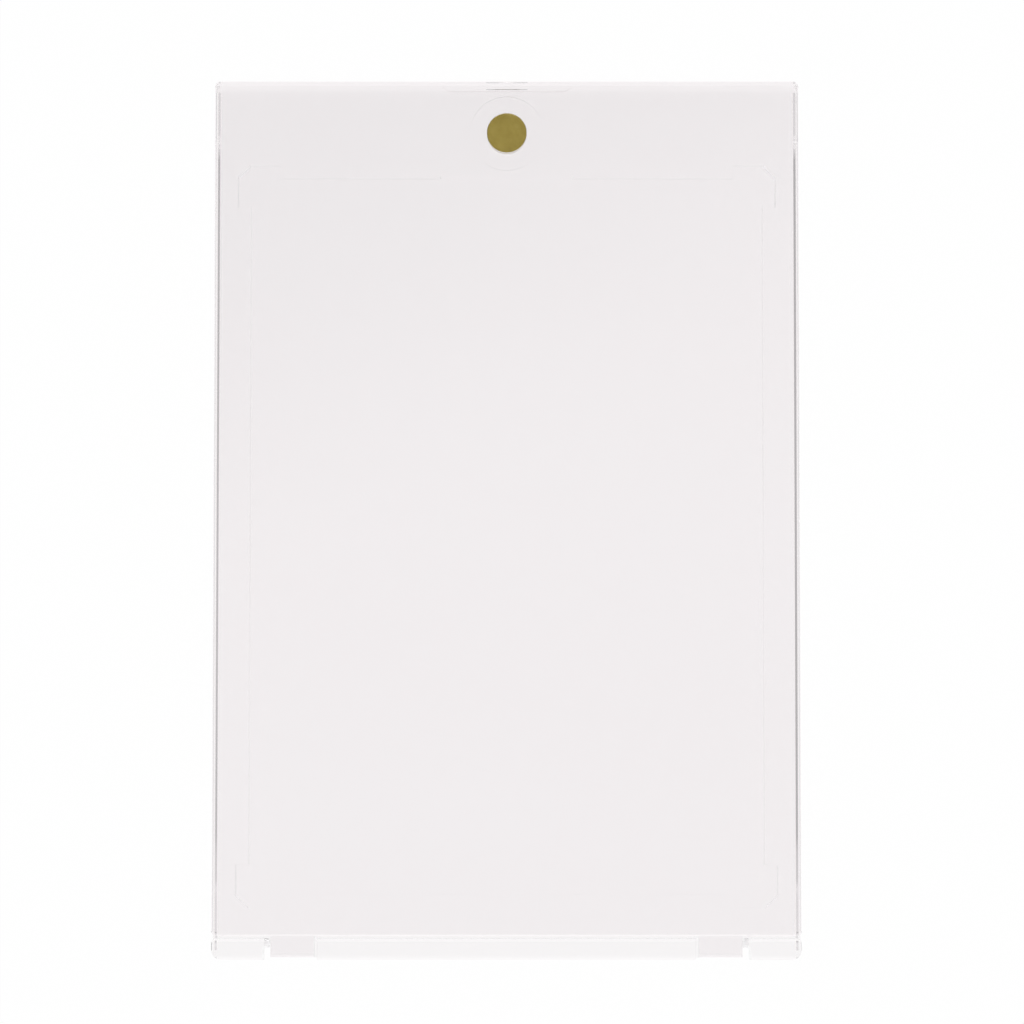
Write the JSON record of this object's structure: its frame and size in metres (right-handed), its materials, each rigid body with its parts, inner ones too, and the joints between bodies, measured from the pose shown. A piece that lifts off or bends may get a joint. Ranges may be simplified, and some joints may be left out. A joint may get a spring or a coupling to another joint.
{
  "type": "trading card display case",
  "caption": "Clear flat case for one trading card: two hinged halves with a card recess, snap hinge tabs, a nail notch and disc magnets that hold it shut.",
  "frame": {"origin": "middle of the back face, with the case lying flat on its back", "axes": "+X across the case to the right seen from the front, +Y from the hinge end to the magnet end, +Z out of the front face"},
  "size_m": [0.0734, 0.1106, 0.0066],
  "materials": {
    "base_plastic": "polished clear",
    "cover_plastic": "polished clear",
    "magnet_plating": "satin gold plating"
  },
  "bodies": {
    "base": {"base_shell": "base_plastic", "rear_magnet": "magnet_plating"},
    "cover": {"front_cover": "cover_plastic", "front_magnet": "magnet_plating"}
  },
  "joints": [
    {"name": "cover_hinge", "type": "hinge", "parent": "base", "child": "cover", "pos_m": [0, -0.0533, 0.0057], "axis": [1, 0, 0], "range_deg": [0, 95]}
  ]
}
